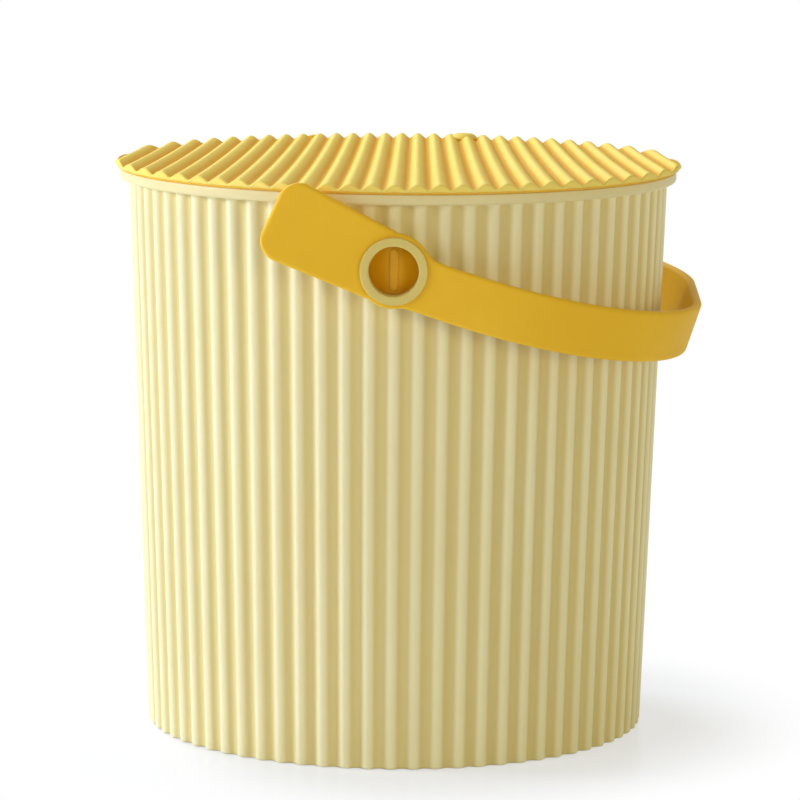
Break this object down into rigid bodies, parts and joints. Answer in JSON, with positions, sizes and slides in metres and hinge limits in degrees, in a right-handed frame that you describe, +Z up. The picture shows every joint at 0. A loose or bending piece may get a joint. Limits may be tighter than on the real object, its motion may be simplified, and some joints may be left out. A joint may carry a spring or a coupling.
{
  "type": "bucket with lid",
  "caption": "Round tapered storage bucket with a fluted wall, a loose ridged lid with a finger tab, and a swinging strap handle on flanged pivot bushes.",
  "frame": {"origin": "centre of the flat face that the bucket stands on", "axes": "+Z up along the bucket's axis; -Y is the front, where one handle pivot shows; +X is the side that the handle hangs on"},
  "size_m": [0.2706, 0.2756, 0.2623],
  "materials": {
    "cream_plastic": "satin moulded",
    "yellow_plastic": "satin moulded"
  },
  "bodies": {
    "bucket": {"bucket_shell": "cream_plastic", "front_pivot_bush": "cream_plastic", "rear_pivot_bush": "cream_plastic", "front_pivot_plug": "yellow_plastic", "rear_pivot_plug": "yellow_plastic"},
    "lid": {"lid": "yellow_plastic"},
    "handle": {"handle": "yellow_plastic"}
  },
  "joints": [
    {"name": "handle_swing", "type": "hinge", "parent": "bucket", "child": "handle", "pos_m": [0, 0, 0.2246], "axis": [0, -1, 0], "range_deg": [0, 214]},
    {"name": "lid_lift", "type": "slide", "parent": "bucket", "child": "lid", "axis": [0, 0, 1], "range_m": [0, 0.06]}
  ]
}
